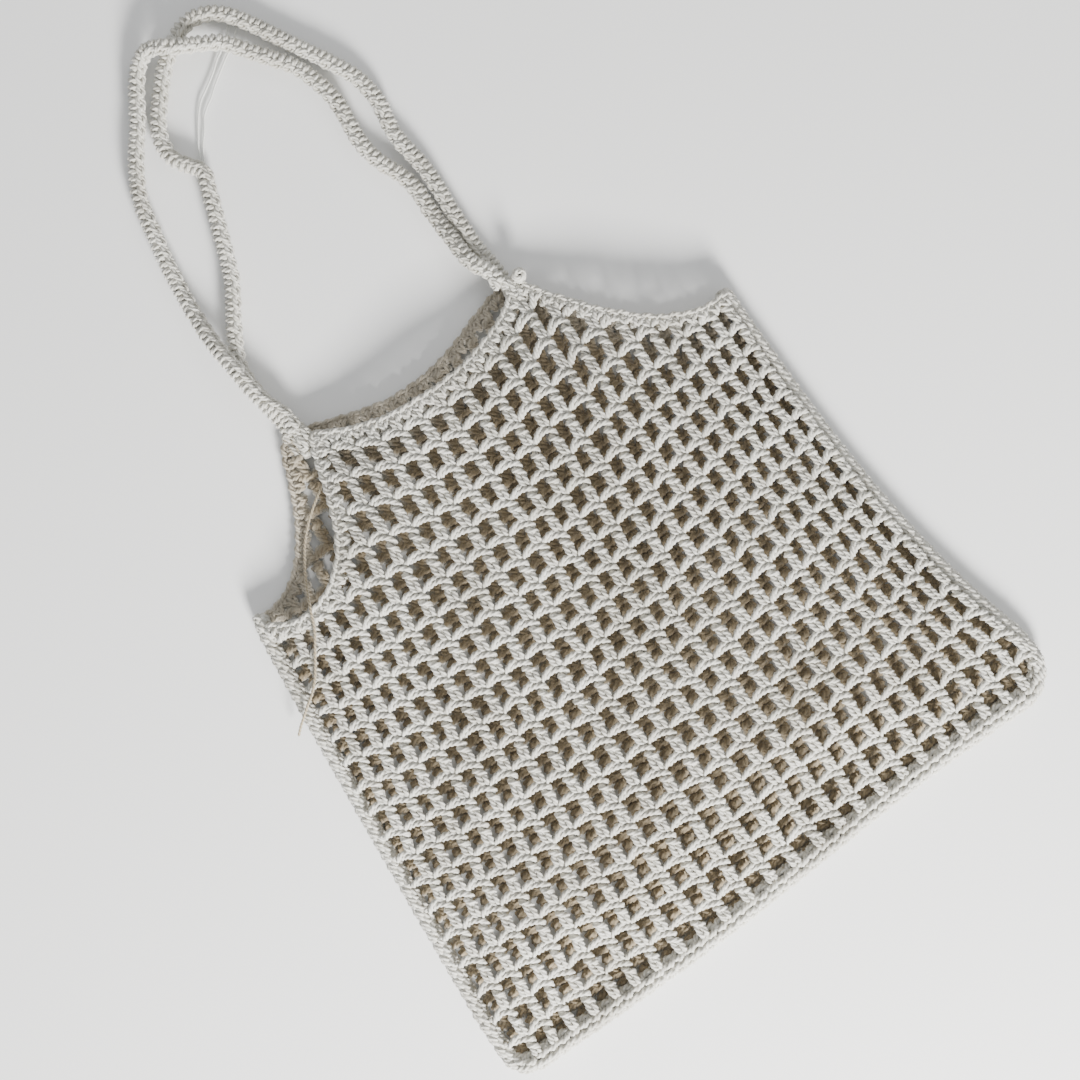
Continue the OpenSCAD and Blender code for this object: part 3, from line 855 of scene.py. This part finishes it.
def make_bands(material, rng):
    """The base band, and on each side its corner, the seam and the point at the seam's top."""
    band = np.array([BAND_WIDTH, BAND_TOP]) / 2
    seam = np.array([SEAM_WIDTH, SEAM_TOP]) / 2
    x = np.linspace(-corner_start(-1), corner_start(1), 25)
    base = np.stack([x, base_line(x) + band[0], np.full_like(x, band[1])], 1)
    make_band("base_band", base, *band, material, rng)
    turn = np.radians(np.arange(0, 91, 15))
    sizes = band + (seam - band) * (turn / turn[-1])[:, None]
    for side, label in ((-1, "left"), (1, "right")):
        low = base_line(side * HALF_BASE)
        radius = corner_radius(side)
        arc = np.stack([side * (corner_start(side) + radius * np.sin(turn)),
                        low + band[0] + radius * (1 - np.cos(turn)), sizes[:, 1]], 1)
        y = np.linspace(low + SEAM_START, CORNER_HEIGHT - SEAM_STOP, 13)
        up_side = np.stack([side * (half_width(side, y) - seam[0]), y, np.full_like(y, seam[1])], 1)
        corner_sizes = np.vstack([sizes, seam])
        make_band(f"{label}_base_corner", np.vstack([arc, up_side[:1]]), *corner_sizes.T, material, rng)
        make_band(f"{label}_side_seam", up_side, *seam, material, rng)
        top = [
            up_side[-1],
            (side * (HALF_CORNER - seam[0]), CORNER_HEIGHT - 5 * MM, seam[1]),
            (side * (HALF_CORNER - 5 * MM), CORNER_HEIGHT - 1 * MM, 5 * MM),
        ]
        make_band(f"{label}_top_corner", top, np.array([4.5, 4.8, 4.2]) * MM,
                  np.array([5.5, 5.5, 4.6]) * MM, material, rng)


def make_joins(material, rng):
    """Gathered stitches between each shoulder and its handle."""
    for body in ("front", "back"):
        for side in ("left", "right"):
            name = f"{body}_{side}_shoulder_join"
            low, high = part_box(name)
            x = (low.x + high.x) / 2
            z = (low.z + high.z) / 2
            points = [(x, low.y, z), (x, (low.y + high.y) / 2, z), (x, high.y, z)]
            line = Line(points, np.array([7, 5.5, 3.8]) * MM, 3.4 * MM)
            mesh = tube_mesh(name, band_strands(line, rng, yarn=RIM_YARN), rng)
            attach(piece(name + "_yarn", mesh, material, "solid_crochet", name), body)


def make_knot(material, rng):
    """The fastened-off end: yarn wound into a small bead."""
    low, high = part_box("shoulder_knot")
    middle = np.array((low + high) / 2)
    reach = (high.x - low.x) / 2 - RIM_YARN
    t = np.linspace(0, 1, 60)[:, None]
    turn = 2 * math.pi * 3.3 * t
    tilt = math.pi * (0.12 + 0.76 * t)
    outward = np.hstack([np.sin(tilt) * np.cos(turn), np.sin(tilt) * np.sin(turn), np.cos(tilt)])
    strands = Strands()
    strands.add(middle + reach * outward, outward, RIM_YARN)
    mesh = tube_mesh("shoulder_knot", strands, rng)
    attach(piece("shoulder_knot_yarn", mesh, material, "solid_crochet", "shoulder_knot"), "front")


def make_fine_cord(name, points, diameter, material, slot, rng, plies, turn):
    """A loose end of yarn or thread along its route."""
    route = through(points, 0.8 * MM)
    facing = np.broadcast_to([0.0, 0.0, 1.0], route.shape)
    strands = Strands()
    strands.add(route, facing, diameter / 2)
    mesh = tube_mesh(name, strands, rng, sides=8, plies=plies, turn=turn)
    return piece(name + "_strand", mesh, material, slot, name), route


def make_loose_ends(tail_material, white_thread, rng):
    tail_points = np.array(TAIL_ROUTE) + [0, BASE_Y, 0]
    tail, route = make_fine_cord("yarn_tail", tail_points, TAIL_SIZE, tail_material, "tail_yarn",
                                 rng, 2, 5 * MM)
    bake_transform(tail)
    for name, points in (("tag_thread_a", THREAD_A_ROUTE), ("tag_thread_b", THREAD_B_ROUTE)):
        thread, route = make_fine_cord(name, past_shoulders(points), THREAD_SIZE, white_thread,
                                       "fine_thread", rng, 2, 4 * MM)
        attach(thread, "back_handle")


def make_panels(material, rng):
    bounds = [0, 4, 8, 12, 16, 20, COLUMNS]
    shifts = [wobble(rng, *scale) for scale in WOBBLES]
    for is_front, label in ((True, "front"), (False, "back")):
        for number, (first, last) in enumerate(zip(bounds[:-1], bounds[1:]), 1):
            strands = mesh_strands(is_front, first, last, shifts, rng)
            name = f"{label}_mesh_{number}"
            # Both panels take painted shade where they face into the bag
            mesh = tube_mesh(name, strands, rng, inner=front_painted_shade if is_front else back_painted_shade)
            made = piece(name, mesh, material, "mesh_yarn", f"{label}_mesh")
            if is_front and number in (1, 2, 5, 6):
                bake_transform(made)
            else:
                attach(made, label)


def area_light(name, place, aim, size, power, colour):
    data = bpy.data.lights.new(name, "AREA")
    data.shape = "SQUARE"
    data.size = size
    data.energy = power
    data.color = colour
    light = bpy.data.objects.new(name, data)
    bpy.context.scene.collection.objects.link(light)
    light.location = place
    direction = Vector(aim) - Vector(place)
    light.rotation_euler = direction.to_track_quat("-Z", "Y").to_euler()


def make_studio():
    """A plain pale floor, a soft key light from beyond the base, and an even pale sky."""
    material = bpy.data.materials.new("floor")
    material.use_nodes = True
    tree = material.node_tree
    shader = tree.nodes["Principled BSDF"]
    shader.inputs["Roughness"].default_value = 0.9
    grain = node(tree, "ShaderNodeTexNoise", Scale=40, Detail=2)
    colour = mix_colour(tree, grain.outputs["Fac"], (0.86, 0.86, 0.85), (0.88, 0.88, 0.87))
    tree.links.new(colour, shader.inputs["Base Color"])
    floor_mesh = bpy.data.meshes.new("floor")
    half = 6
    floor_z = -1.5 * MM
    corners = [(-half, -half, floor_z), (half, -half, floor_z), (half, half, floor_z), (-half, half, floor_z)]
    floor_mesh.from_pydata(corners, [], [(0, 1, 2, 3)])
    floor_mesh.materials.append(material)
    floor = bpy.data.objects.new("floor", floor_mesh)
    bpy.context.scene.collection.objects.link(floor)
    world = bpy.data.worlds.new("studio")
    world.use_nodes = True
    world.node_tree.nodes["Background"].inputs["Color"].default_value = (0.95, 0.97, 1, 1)
    world.node_tree.nodes["Background"].inputs["Strength"].default_value = 0.62
    bpy.context.scene.world = world
    area_light("key", (-0.35, -1.45, 0.8), (0, 0, 0), 0.45, 100, (1, 0.99, 0.97))
    area_light("fill", (1.2, 0.6, 1.6), (0, 0, 0), 1.2, 8, (1, 0.98, 0.94))


def main():
    rng = np.random.default_rng(SEED)
    make_camera()
    # The last colour is the painted shade for yarn facing into the bag; the tan yarn's white one leaves it
    # untinted
    cotton = yarn_material("cotton_yarn", (0.86, 0.85, 0.79), (0.56, 0.54, 0.48), (0.5, 0.41, 0.29))
    tan = yarn_material("tan_yarn", (0.5, 0.43, 0.31), (0.38, 0.32, 0.22), (1.0, 1.0, 1.0))
    white_thread = thread_material()
    make_handle("front_handle", FRONT_ROUTE, cotton, rng)
    make_handle("back_handle", BACK_ROUTE, cotton, rng)
    make_loose_ends(tan, white_thread, rng)
    make_panels(cotton, rng)
    make_rims(cotton, rng)
    make_bands(cotton, rng)
    make_joins(cotton, rng)
    make_knot(cotton, rng)
    make_studio()


main()
